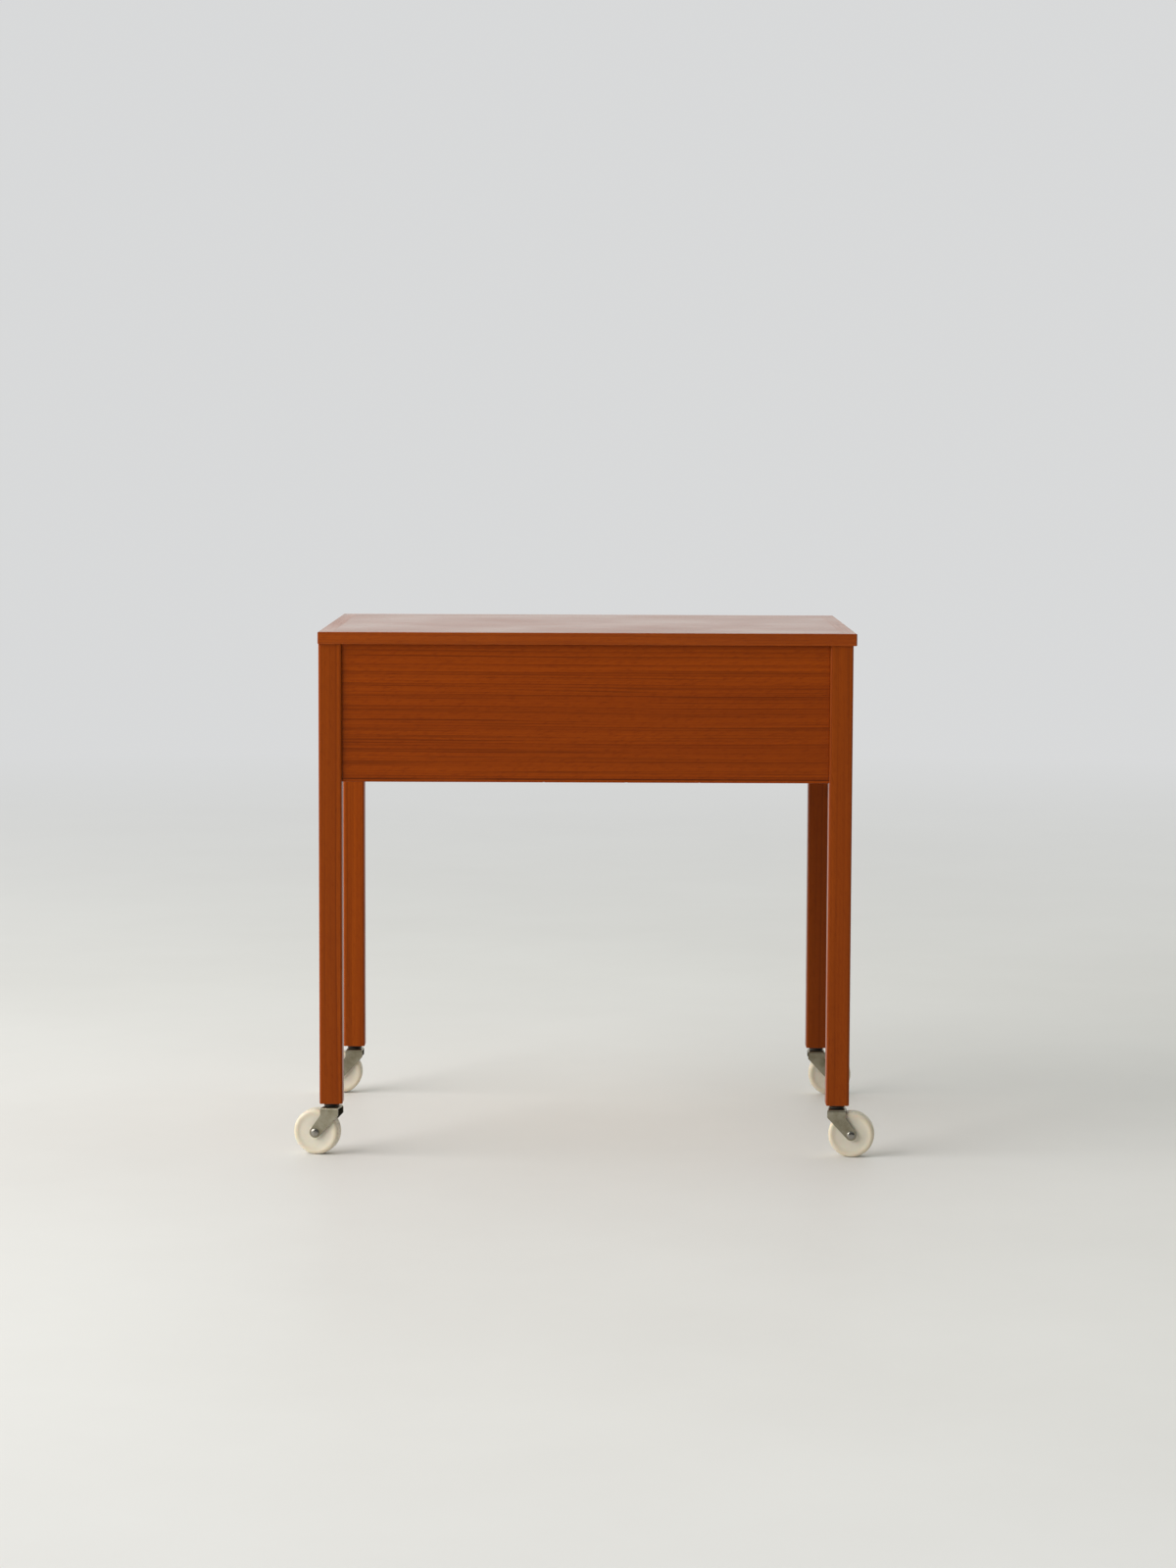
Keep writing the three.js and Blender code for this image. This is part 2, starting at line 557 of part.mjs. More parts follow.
// A pin up the socket, riveted over under the fork's crown.
function stemGeometry() {
  const crown = CASTOR.top - FORK.gauge - GAP;
  const tip = LEG_BOTTOM + STEM.rise;
  return turned([
    [0, crown - STEM.rivetHeight],
    [STEM.rivetEnd, crown - STEM.rivetHeight],
    [STEM.rivet, crown - STEM.rivetHeight / 2],
    [STEM.rivet, crown],
    [STEM.radius, crown],
    [STEM.radius, tip - STEM.taper],
    [STEM.tip, tip],
    [0, tip],
  ], 16);
}

function addCastor(table, corner) {
  const castor = new THREE.Group();
  castor.position.set(corner.x * LEG_X, corner.y * LEG_Y, 0);
  table.add(castor);
  const swivel = new THREE.Group();
  swivel.rotation.z = THREE.MathUtils.degToRad(corner.trail);
  castor.add(swivel);
  const prefix = `castor_${corner.name}`;

  addMesh(castor, `${prefix}_socket`, socketGeometry(), darkSteel);
  addMesh(castor, `${prefix}_bearing`, bearingGeometry(), darkSteel);
  addMesh(castor, `${prefix}_stem`, stemGeometry(), brightSteel);
  addMesh(swivel, `${prefix}_fork`, forkGeometry(), forkSteel);
  addMesh(swivel, `${prefix}_axle`, axleGeometry(), brightSteel);
  addMesh(swivel, `${prefix}_wheel`, wheelGeometry(), nylon);
}

// ---- The table -------------------------------------------------------------------------------
const table = new THREE.Group();
addLegs(table);
addBox(table);
addRunners(table);
addLid(table);
addHinges(table);
addStay(table);
addTray(table);
for (const corner of CORNERS) addCastor(table, corner);

export default table;
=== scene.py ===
"""Looks of a teak sewing table on castors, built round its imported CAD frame."""
import json
import math
import random

import bmesh
import bpy
from mathutils import Matrix, Vector

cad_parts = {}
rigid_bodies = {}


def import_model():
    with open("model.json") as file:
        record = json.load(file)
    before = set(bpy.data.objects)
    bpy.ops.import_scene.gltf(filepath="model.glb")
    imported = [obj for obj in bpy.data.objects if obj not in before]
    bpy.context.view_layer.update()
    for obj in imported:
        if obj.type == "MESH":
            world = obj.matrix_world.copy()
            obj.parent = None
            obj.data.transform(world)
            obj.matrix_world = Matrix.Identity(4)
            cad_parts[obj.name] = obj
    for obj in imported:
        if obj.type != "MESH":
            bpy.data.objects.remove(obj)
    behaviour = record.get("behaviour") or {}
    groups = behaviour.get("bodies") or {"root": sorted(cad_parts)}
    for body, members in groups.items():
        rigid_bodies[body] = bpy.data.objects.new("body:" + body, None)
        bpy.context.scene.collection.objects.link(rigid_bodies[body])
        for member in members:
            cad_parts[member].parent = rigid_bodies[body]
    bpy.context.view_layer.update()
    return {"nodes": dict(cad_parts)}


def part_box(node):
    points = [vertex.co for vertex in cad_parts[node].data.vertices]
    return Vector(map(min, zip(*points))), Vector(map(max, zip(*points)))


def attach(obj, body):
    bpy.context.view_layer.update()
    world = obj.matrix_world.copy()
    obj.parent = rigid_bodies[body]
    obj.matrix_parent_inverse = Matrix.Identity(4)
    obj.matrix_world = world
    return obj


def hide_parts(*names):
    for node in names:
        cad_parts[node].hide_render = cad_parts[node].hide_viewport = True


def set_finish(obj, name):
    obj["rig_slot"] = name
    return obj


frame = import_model()
random.seed(36)

MM = 0.001
X, Y, Z = 0, 1, 2
CORNERS = ("front_left", "front_right", "back_left", "back_right")

# Wood
HEART_DISTANCE = (0.11, 0.19) # from a board's middle to the heart of its tree
HAIR = 0.01 * MM # two places closer than this are the same
SHARP_ARRIS = 0.08 # mm of easing on an edge that looks sharp
LEG_ARRIS = 0.6
APRON_ARRIS = 0.5
LID_ARRIS = 1.3
TRAY_ARRIS = 0.7
RUNNER_ARRIS = 0.8
BOTTOM_ARRIS = 0.3
FLOOR_ARRIS = 0.4
SEAM = 0.14 # mm by which the lid's panel and lippings each close the glue line between them
SETTLE = 0.2 # mm by which the lid and the box each close the clearance between them
GLUE_LINE_HEIGHT = 3.4 * MM
GLUE_LINE_FADE = (0.3 * MM, 1.1 * MM) # how far from the line it is still full, and where it ends
CHIPS = ((-45, 2.6), (44, 3.2), (123, 2.2)) # from the panel's middle, and how wide, in mm
CHIP_REACH = 3.0 # mm into the panel and up it
CHIP_HEIGHT = 0.9

# Hardware
HALF_LID_CLEARANCE = 0.25 * MM # the hinge pin lies midway between the box and the closed lid
RUNNER_HEAD = 3.0 * MM # radii of the screw heads
HINGE_HEAD = 2.5 * MM
BRACKET_HEAD = 2.3 * MM
HEAD_CLEARANCE = 0.12 * MM
BRACKET_GAUGE = 1.5 * MM
RUNNER_SCREWS = (-225, 0, 225) # mm from the middle
LEAF_SCREWS = ((-13, 6.2), (0, 3.8), (13, 6.2)) # mm from a leaf's middle and its front edge
BRACKET_SCREWS = ((4.2, -3.4), (9.4, 3.4)) # mm from the bracket's left edge and its middle
WHEEL_RADIUS = 25 * MM
WHEEL_HALF_WIDTH = 9 * MM
AXLE_FACE = 12.3 # mm from the wheel's middle to the underside of the axle's head
AXLE_HEAD = 4.4 # mm, the head's radius
FORK_HALF_WIDTH = 12 * MM
FORK_GAUGE = 2 * MM

# Colour and light
NYLON_FACE = (0.785, 0.725, 0.60)
NYLON_GREY = (0.725, 0.665, 0.555)
NYLON_WARM = (0.78, 0.69, 0.52)
NYLON_DIRT = (0.30, 0.27, 0.22)
FLOOR_TONES = ((0.75, 0.737, 0.725), (0.80, 0.79, 0.78))
FLOOR_RADIUS = 30.0
ROOM_FRONT_LOW = 0.03 # radiance of the room on the camera's side, near the floor and high up
ROOM_FRONT_HIGH = 0.20
ROOM_BACK = 0.88
ROOM_TINT = (0.985, 1.01, 0.965, 1.0)
BACKDROP = 0.70
BACKDROP_TINT = (0.985, 0.995, 1.0, 1.0)


# ---- Camera ----------------------------------------------------------------------------------
def add_camera():
    """An 85 mm lens about four metres in front of the table, looking slightly down. Angles are
    in radians."""
    data = bpy.data.cameras.new("camera")
    data.sensor_fit = "VERTICAL"
    data.sensor_height = 36.0
    data.lens = 85.0
    data.clip_end = 60.0
    camera = bpy.data.objects.new("camera", data)
    place = Matrix.Translation((0.0119, -4.1816, 0.7785))
    pitch, roll, yaw = 0.09295, 0.00369, 0.00229
    turn = Matrix.Rotation(yaw, 4, "Z") @ Matrix.Rotation(math.pi / 2 - pitch, 4, "X")
    camera.matrix_world = place @ turn @ Matrix.Rotation(roll, 4, "Z")
    bpy.context.scene.collection.objects.link(camera)
    bpy.context.scene.camera = camera


# ---- Materials -------------------------------------------------------------------------------
materials = {}


class Tree:
    """A node tree that is built by short calls, which give the made node's output."""

    def __init__(self, tree):
        self.tree = tree

    def feed(self, socket, value):
        """Links a socket to another, or sets it to a plain value."""
        if isinstance(value, bpy.types.NodeSocket):
            self.tree.links.new(value, socket)
        elif socket.type == "RGBA" and len(value) == 3:
            socket.default_value = (*value, 1.0)
        else:
            socket.default_value = value

    def node(self, kind, inputs=(), output=0, **settings):
        """Adds a node, fills its inputs by name or number, and gives one of its outputs."""
        made = self.tree.nodes.new("ShaderNode" + kind)
        for name, value in settings.items():
            setattr(made, name, value)
        for key, value in dict(inputs).items():
            self.feed(made.inputs[key], value)
        return made.outputs[output]

    def math(self, operation, *values):
        return self.node("Math", dict(enumerate(values)), operation=operation)

    def stretch(self, vector, scale):
        return self.node("Mapping", {"Vector": vector, "Scale": scale})

    def noise(self, vector, scale=1.0, detail=2.0, roughness=0.5):
        inputs = {"Vector": vector, "Scale": scale, "Detail": detail, "Roughness": roughness}
        return self.node("TexNoise", inputs)

    def remap(self, value, low, high, to_low=0.0, to_high=1.0, kind="LINEAR"):
        inputs = {"Value": value, "From Min": low, "From Max": high}
        inputs.update({"To Min": to_low, "To Max": to_high})
        return self.node("MapRange", inputs, interpolation_type=kind)

    def mix(self, factor, first, second):
        """A mix of two colours, which are the node's seventh and eighth inputs."""
        made = self.tree.nodes.new("ShaderNodeMix")
        made.data_type = "RGBA"
        self.feed(made.inputs[0], factor)
        self.feed(made.inputs[6], first)
        self.feed(made.inputs[7], second)
        return made.outputs[2]


class Shader(Tree):
    """A material's tree. The plain values of its surface are given as keywords."""

    def __init__(self, name, **sockets):
        self.material = materials[name] = bpy.data.materials.new(name)
        self.material.use_nodes = True
        super().__init__(self.material.node_tree)
        self.surface = self.tree.nodes["Principled BSDF"]
        for socket, value in sockets.items():
            self.feed(self.surface.inputs[socket.replace("_", " ")], value)

    def attribute(self, name, output=1):
        """A mesh attribute: output 1 is its vector and output 2 its plain number."""
        return self.node("Attribute", output=output, attribute_name=name)

    def bump(self, height, distance, strength):
        inputs = {"Height": height, "Distance": distance, "Strength": strength}
        self.feed(self.surface.inputs["Normal"], self.node("Bump", inputs))


def edge_closeness(shader, reach):
    """1 on a board's edges, falling to 0 within reach of them, from its two corner distances."""
    low = shader.node("SeparateXYZ", {0: shader.attribute("from_low")}).node
    high = shader.node("SeparateXYZ", {0: shader.attribute("from_high")}).node
    near = [shader.math("MINIMUM", low.outputs[i], high.outputs[i]) for i in range(3)]
    smaller = shader.math("MINIMUM", near[0], near[1])
    larger = shader.math("MAXIMUM", near[0], near[1])
    second = shader.math("MAXIMUM", smaller, shader.math("MINIMUM", larger, near[2]))
    return shader.remap(second, 0.0, reach, 1.0, 0.0)


def wood(name, tones, rate, lines, specular, roughness=0.31, pores=1.0, sway=0.009, flecks=0.3,
         lipped=False):
    """Wood with growth rings round a far heart, fine fibres, open pores and paler worn edges.
    The "grain" attribute is in metres: X along the board, Y and Z from the tree's heart. A lipped
    board has a dark glue line along its lower edge."""
    pale, mid, dark, line = tones
    shader = Shader(name, Specular_IOR_Level=specular)
    grain = shader.attribute("grain")
    wander = shader.math("MULTIPLY", shader.noise(shader.stretch(grain, (1.3, 4, 4)), detail=2), sway)
    aside = shader.node("CombineXYZ", {1: wander, 2: wander})
    shifted = shader.node("VectorMath", {0: grain, 1: aside}, operation="ADD")
    across = shader.stretch(grain, (0, 1, 1))
    heart = shader.node("VectorMath", {0: across}, output=1, operation="LENGTH")
    uneven = shader.noise(shader.stretch(shifted, (0.4, 60, 60)), detail=2)
    phase = shader.math("MULTIPLY", shader.math("ADD", heart, wander), rate)
    phase = shader.math("MULTIPLY_ADD", uneven, 2.4, phase)
    ring = shader.math("FRACT", phase)
    number = shader.math("FLOOR", phase)
    one_ring = shader.node("TexWhiteNoise", {"W": number}, noise_dimensions="1D")

    broad = shader.noise(shader.stretch(shifted, (0.7, 30, 30)), detail=3)
    fading = shader.noise(shader.stretch(shifted, (4.5, 160, 160)), detail=2)
    fibre = shader.noise(shader.stretch(shifted, (5, 900, 900)), detail=3, roughness=0.7)
    streak = shader.noise(shader.stretch(shifted, (1.5, 480, 480)), detail=2)
    pore = shader.noise(shader.stretch(shifted, (75, 2300, 2300)), detail=1)
    figure = shader.noise(shader.stretch(grain, (38, 60, 60)), detail=2)
    slanted = shader.node("VectorRotate", {"Vector": grain, "Axis": (0, 1, 1), "Angle": 0.24})
    fleck = shader.noise(shader.stretch(slanted, (70, 520, 520)), detail=2)

    late = shader.math("POWER", ring, 3.0)
    late = shader.math("MULTIPLY", late, shader.remap(ring, 0.94, 1.0, 1.0, 0.0))
    late = shader.math("MULTIPLY", late, shader.remap(fading, 0.32, 0.6, 0.2, 1.0))
    late = shader.math("MULTIPLY", late, shader.math("MULTIPLY_ADD", one_ring, 0.8, 0.2))

    colour = shader.mix(shader.remap(broad, 0.25, 0.75), mid, pale)
    colour = shader.mix(shader.math("MULTIPLY", one_ring, 0.36), colour, dark)
    colour = shader.mix(shader.math("MULTIPLY", late, lines), colour, line)
    colour = shader.mix(shader.remap(streak, 0.54, 0.70, 0.0, 0.6 * lines), colour, line)
    colour = shader.mix(shader.remap(fibre, 0.4, 0.75, 0.0, 0.35), colour, dark)
    colour = shader.mix(shader.remap(fleck, 0.5, 0.75, 0.0, flecks), colour, dark)
    colour = shader.mix(shader.remap(pore, 0.68, 0.76, 0.0, 0.5 * pores), colour, line)
    colour = shader.mix(shader.remap(figure, 0.48, 0.8, 0.0, 0.14), colour, pale)
    if lipped:
        above = shader.node("SeparateXYZ", {0: shader.attribute("from_low")}, output=2)
        away = shader.math("ABSOLUTE", shader.math("SUBTRACT", above, GLUE_LINE_HEIGHT))
        patchy = shader.remap(shader.noise(shader.stretch(grain, (9, 40, 40))), 0.35, 0.6, 0.25, 0.8)
        seam = shader.math("MULTIPLY", shader.remap(away, *GLUE_LINE_FADE, 1.0, 0.0), patchy)
        colour = shader.mix(seam, colour, line)
    rubbed = shader.remap(shader.noise(grain, 170.0, detail=3), 0.42, 0.7)
    worn = shader.math("MULTIPLY", edge_closeness(shader, 2 * MM), rubbed)
    colour = shader.mix(shader.math("MULTIPLY", worn, 0.4), colour, pale)
    shader.feed(shader.surface.inputs["Base Color"], colour)

    cloud = shader.noise(grain, 8.0, detail=3)
    sheen = shader.remap(cloud, 0.3, 0.7, roughness - 0.03, roughness + 0.04)
    sheen = shader.math("ADD", sheen, shader.remap(fibre, 0.35, 0.8, 0.0, 0.06))
    shader.feed(shader.surface.inputs["Roughness"], sheen)
    height = shader.math("MULTIPLY_ADD", fibre, 0.3, shader.remap(pore, 0.68, 0.78, 0.0, -0.7 * pores))
    shader.bump(height, 0.04 * MM, 0.3)


def metal(name, base, tarnish, roughness, amount=0.5, inner_shade=None):
    """Plated or rolled metal with blotchy tarnish and specks. Where an inner shade tone is given, it
    is painted shade over the inner faces, which the "inside" attribute marks."""
    shader = Shader(name, Metallic=1.0)
    place = shader.node("TexCoord", output=3)
    cloud = shader.noise(place, 60.0, detail=5, roughness=0.65)
    specks = shader.noise(place, 840.0, detail=2)
    colour = shader.mix(shader.remap(cloud, 0.4, 0.72, 0.0, amount), base, tarnish)
    colour = shader.mix(shader.remap(specks, 0.62, 0.75, 0.0, 0.5), colour, tarnish)
    if inner_shade:
        # painted shade: a near black tone over the inner faces, where the cheeks and the wheel shade
        # them
        inside = shader.remap(shader.attribute("inside", output=2), 0.3, 0.9, 0.0, 0.95)
        colour = shader.mix(inside, colour, inner_shade)
    shader.feed(shader.surface.inputs["Base Color"], colour)
    rough = shader.remap(cloud, 0.3, 0.75, roughness, roughness + 0.18)
    shader.feed(shader.surface.inputs["Roughness"], rough)
    shader.bump(shader.noise(place, 900.0, detail=3), 0.06 * MM, 0.25)


def nylon():
    """Aged nylon: greyish cream on the faces, yellower towards the rim, scuffed on the tread."""
    shader = Shader("nylon", Subsurface_Weight=0.15, Subsurface_Scale=0.004)
    place = shader.node("TexCoord", output=3)
    rim = shader.attribute("rim", output=2)
    cloud = shader.noise(place, 45.0, detail=4, roughness=0.6)
    colour = shader.mix(shader.remap(cloud, 0.35, 0.7), NYLON_FACE, NYLON_GREY)
    warmer_to_rim = shader.remap(rim, 0.68, 0.86)
    blotch = shader.remap(shader.noise(place, 70.0, detail=3), 0.3, 0.65, 0.4, 1.0)
    colour = shader.mix(shader.math("MULTIPLY", warmer_to_rim, blotch), colour, NYLON_WARM)
    tread = shader.remap(rim, 0.955, 0.99)
    scuff = shader.remap(shader.noise(place, 420.0, detail=4), 0.42, 0.66)
    scuff = shader.math("MULTIPLY", scuff, tread)
    colour = shader.mix(shader.math("MULTIPLY", scuff, 0.45), colour, NYLON_DIRT)
    shader.feed(shader.surface.inputs["Base Color"], colour)
    shader.feed(shader.surface.inputs["Roughness"], shader.remap(cloud, 0.3, 0.7, 0.34, 0.48))
    shader.bump(shader.noise(place, 900.0, detail=3), 0.1 * MM, 0.25)


def shade(tones, level):
    """The same tones, lighter or darker."""
    return tuple(tuple(level * part for part in tone) for tone in tones)


def add_materials():
    """A name before the hyphen is the record's slot; what follows says where the finish is used.
    A wood's four tones run from its pale earlywood to its dark lines."""
    teak = ((0.42, 0.080, 0.004), (0.33, 0.057, 0.003), (0.21, 0.032, 0.002), (0.065, 0.010, 0.001))
    veneer = ((0.38, 0.066, 0.002), (0.30, 0.048, 0.002), (0.19, 0.027, 0.001), (0.060, 0.009, 0.001))
    beech = ((0.70, 0.46, 0.25), (0.62, 0.38, 0.19), (0.50, 0.29, 0.13), (0.34, 0.18, 0.08))
    birch = ((0.70, 0.50, 0.30), (0.60, 0.40, 0.22), (0.48, 0.30, 0.15), (0.33, 0.18, 0.09))
    leg = {"rate": 190.0, "lines": 0.5, "roughness": 0.3, "specular": 0.1}
    wood("teak_solid-leg", shade(teak, 0.88), **leg)
    # a darker copy of the leg teak for the back right leg: painted shade for its shadow under the box
    wood("teak_solid-dark_leg", shade(teak, 0.66), **leg)
    wood("teak_solid-lid", shade(teak, 0.98), rate=170.0, lines=0.5, sway=0.03, roughness=0.2,
         specular=0.14)
    wood("teak_veneer-box", veneer, rate=330.0, lines=0.8, specular=0.1, flecks=0.5, lipped=True)
    wood("teak_veneer-lid", veneer, rate=170.0, lines=0.7, sway=0.02, roughness=0.18, specular=0.14)
    wood("beech", beech, rate=150.0, lines=0.3, pores=0.5, roughness=0.45, specular=0.35)
    wood("plywood", birch, rate=60.0, lines=0.4, pores=0.5, roughness=0.55, specular=0.35,
         sway=0.05)
    metal("brass", (0.72, 0.50, 0.20), (0.30, 0.19, 0.07), 0.28)
    # the fork's near black inner tone is painted shade
    metal("fork_steel", (0.39, 0.36, 0.275), (0.17, 0.145, 0.08), 0.30, amount=0.8,
          inner_shade=(0.05, 0.045, 0.03))
    metal("dark_steel", (0.10, 0.09, 0.08), (0.03, 0.025, 0.02), 0.4)
    metal("bright_steel", (0.36, 0.345, 0.31), (0.16, 0.145, 0.12), 0.15)
    nylon()


# ---- Mesh work -------------------------------------------------------------------------------
def node_bmesh(node):
    """A clean copy of a CAD node's mesh: welded, with its flat faces whole."""
    mesh = bmesh.new()
    mesh.from_mesh(frame["nodes"][node].data)
    bmesh.ops.remove_doubles(mesh, verts=mesh.verts, dist=1e-6)
    bmesh.ops.dissolve_limit(
        mesh, angle_limit=math.radians(0.5), verts=mesh.verts, edges=mesh.edges, delimit=set())
    return mesh


def to_object(name, mesh, material, smooth=30.0):
    """Turns a bmesh into an object, smooth except across edges sharper than the angle."""
    data = bpy.data.meshes.new(name)
    mesh.to_mesh(data)
    mesh.free()
    data.materials.append(materials[material])
    made = bpy.data.objects.new(name, data)
    bpy.context.scene.collection.objects.link(made)
    for polygon in data.polygons:
        polygon.use_smooth = True
    data.set_sharp_from_angle(angle=math.radians(smooth))
    return made


def soften(mesh, radius, segments=3, sharper_than=30.0, plane=None):
    """Rounds every edge that turns more than the given angle, or only those of them that lie in
    a plane, given as an axis and the place along it."""
    limit = math.radians(sharper_than)
    edges = [e for e in mesh.edges if len(e.link_faces) == 2 and e.calc_face_angle() > limit]
    if plane:
        axis, level = plane
        edges = [e for e in edges if all(abs(v.co[axis] - level) < HAIR for v in e.verts)]
    bmesh.ops.bevel(mesh, geom=edges, offset=radius, offset_type="OFFSET", segments=segments,
                    profile=0.5, affect="EDGES", clamp_overlap=True)


def stretch_box(mesh, low, high):
    """Moves the mesh's own lower and upper limits by these amounts along each axis."""
    for axis in range(3):
        values = [v.co[axis] for v in mesh.verts]
        first, last = min(values), max(values)
        gain = (last + high[axis] - first - low[axis]) / (last - first)
        for vertex in mesh.verts:
            vertex.co[axis] = first + low[axis] + (vertex.co[axis] - first) * gain


def mark_wood(piece, along, heart):
    """Stores where the board's wood grew, and the distances to the board's corners. The tree's
    heart lies beyond the board, at the angle heart in its cross-section."""
    data = piece.data
    corners = [Vector(c) for c in piece.bound_box]
    low, high = corners[0], corners[6]
    centre = (low + high) / 2
    first, second = [axis for axis in range(3) if axis != along]
    away = random.uniform(*HEART_DISTANCE)
    angle = math.radians(heart + random.uniform(-4, 4))
    start = random.uniform(-3, 3)
    grain = data.attributes.new("grain", "FLOAT_VECTOR", "POINT")
    from_low = data.attributes.new("from_low", "FLOAT_VECTOR", "POINT")
    from_high = data.attributes.new("from_high", "FLOAT_VECTOR", "POINT")
    for index, vertex in enumerate(data.vertices):
        place = vertex.co - centre
        grain.data[index].vector = (start + place[along], place[first] + away * math.cos(angle),
                                    place[second] + away * math.sin(angle))
        from_low.data[index].vector = vertex.co - low
        from_high.data[index].vector = high - vertex.co


def board(node, body, material, along, arris, heart, low=(0, 0, 0), high=(0, 0, 0), segments=3,
          outside=None, tool=None):
    """A wooden piece in a CAD node's shape, with eased edges and its grain along one axis. Where
    an outside is given, as an axis and one or both sides, only the edges of those faces are
    eased so far. A tool is cut out of the piece."""
    mesh = node_bmesh(node)
    stretch_box(mesh, [v * MM for v in low], [v * MM for v in high])
    if outside:
        axis, *sides = outside
        for side in sides:
            level = (min if side < 0 else max)(v.co[axis] for v in mesh.verts)
            soften(mesh, arris * MM, segments, plane=(axis, level))
        soften(mesh, SHARP_ARRIS * MM, 1, 40.0)
    else:
        soften(mesh, arris * MM, segments)
    piece = to_object(node + "_wood", mesh, material)
    if tool:
        carve(piece, tool)
    mark_wood(piece, along, heart)
    hand_over(piece, body, material, node)


def keep_broad_faces_flat():
    """Weighs every piece's normals by face area, so that an eased edge doesn't tilt the shading
    of the broad faces beside it."""
    nodes = set(frame["nodes"].values())
    pieces = [o for o in bpy.context.scene.objects if "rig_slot" in o and o not in nodes]
    for piece in pieces:
        piece.modifiers.new("weigh", "WEIGHTED_NORMAL").keep_sharp = True
    graph = bpy.context.evaluated_depsgraph_get()
    settled = [bpy.data.meshes.new_from_object(piece.evaluated_get(graph)) for piece in pieces]
    for piece, data in zip(pieces, settled):
        piece.modifiers.clear()
        piece.data = data


def hand_over(piece, body, material, *nodes):
    """Says which body a piece rides on, its slot, and the CAD nodes that it stands for."""
    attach(piece, body)
    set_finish(piece, material.split("-")[0])
    if nodes:
        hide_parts(*nodes)


def lathe(outline, segments, centre, across):
    """Turns a closed (radius, distance) outline round the axis across, at centre."""
    mesh = bmesh.new()
    axis = Vector(across).normalized()
    first = axis.orthogonal().normalized()
    second = axis.cross(first)
    rings = []
    for step in range(segments):
        angle = 2 * math.pi * step / segments
        out = first * math.cos(angle) + second * math.sin(angle)
        rings.append([mesh.verts.new(Vector(centre) + out * r + axis * d) for r, d in outline])
    for step in range(segments):
        here, there = rings[step], rings[(step + 1) % segments]
        for i in range(len(outline)):
            j = (i + 1) % len(outline)
            mesh.faces.new((here[i], here[j], there[j], there[i]))
    bmesh.ops.remove_doubles(mesh, verts=mesh.verts, dist=1e-7)
    loose = [f for f in mesh.faces if f.calc_area() < 1e-14]
    bmesh.ops.delete(mesh, geom=loose, context="FACES")
    wires = [e for e in mesh.edges if not e.link_faces]
    bmesh.ops.delete(mesh, geom=wires, context="EDGES")
    bmesh.ops.recalc_face_normals(mesh, faces=mesh.faces)
    return mesh


def arc(centre, radius, start, end, steps):
    """Points on an arc between two angles in degrees, as (radius, distance) pairs."""
    points = []
    for step in range(steps + 1):
        angle = math.radians(start + (end - start) * step / steps)
        points.append((centre[0] + radius * math.cos(angle), centre[1] + radius * math.sin(angle)))
    return points


def carve(piece, tool):
    """Cuts a closed tool mesh, of one or more separate bodies, out of a piece whose attributes
    aren't marked yet."""
    data = bpy.data.meshes.new("tool")
    tool.to_mesh(data)
    tool.free()
    cutter = bpy.data.objects.new("tool", data)
    bpy.context.scene.collection.objects.link(cutter)
    modifier = piece.modifiers.new("carve", "BOOLEAN")
    modifier.object = cutter
    modifier.solver = "EXACT"
    modifier.operation = "DIFFERENCE"
    seen = piece.evaluated_get(bpy.context.evaluated_depsgraph_get())
    carved = bpy.data.meshes.new_from_object(seen)
    piece.modifiers.clear()
    piece.data = carved
    carved.set_sharp_from_angle(angle=math.radians(35))
    bpy.data.objects.remove(cutter)


def block(low, high):
    """A closed box between two corners."""
    mesh = bmesh.new()
    bmesh.ops.create_cube(mesh, size=1.0)
    low, high = Vector(low), Vector(high)
    for vertex in mesh.verts:
        vertex.co = (low + high) / 2 + vertex.co * (high - low)
    return mesh


def screw(name, place, outward, radius, body, material):
    """A countersunk screw head with a slot at its own random angle."""
    outline = [(0, -1.5 * MM), (0.45 * radius, -1.5 * MM), (0.5 * radius, -1.2 * MM)]
    outline += [(radius - 0.1 * MM, -0.3 * MM), (radius, -0.12 * MM)]
    outline += [(radius - 0.06 * MM, -0.03 * MM), (0.6 * radius, 0.02 * MM), (0, 0.04 * MM)]
    piece = to_object(name, lathe(outline, 40, place, outward), material, 35.0)
    slot = block((-radius * 1.2, -0.13 * radius, -0.5 * MM), (radius * 1.2, 0.13 * radius, MM))
    turn = Vector((0, 0, 1)).rotation_difference(Vector(outward)).to_matrix().to_4x4()
    spin = Matrix.Rotation(random.uniform(0, math.pi), 4, "Z")
    bmesh.ops.transform(slot, matrix=Matrix.Translation(place) @ turn @ spin, verts=slot.verts)
    carve(piece, slot)
    hand_over(piece, body, material)


def countersinks(places, outward, head):
    """Cones as tools for the holes that take countersunk heads."""
    radius = head + HEAD_CLEARANCE
    tools = bmesh.new()
    for place in places:
        cone = [(0, -4 * MM), (0.5 * radius, -4 * MM), (0.5 * radius, -1.3 * MM)]
        cone += [(radius, -0.15 * MM), (radius, MM), (0, MM)]
        made = lathe(cone, 40, place, outward)
        data = bpy.data.meshes.new("cone")
        made.to_mesh(data)
        made.free()
        tools.from_mesh(data)
        bpy.data.meshes.remove(data)
    return tools


# ---- Wooden pieces ---------------------------------------------------------------------------
def add_legs():
    """Legs with an eased foot. The back right one gets a darker copy of the same teak: painted shade
    for the shadow it stands in under the box.
    """
    for corner in CORNERS:
        # the back right leg's darker teak is painted shade
        material = "teak_solid-dark_leg" if corner == "back_right" else "teak_solid-leg"
        heart = random.uniform(15, 75)
        board(f"leg_{corner}", "frame", material, Z, LEG_ARRIS, heart, high=(0, 0, SETTLE),
              outside=(Z, -1))


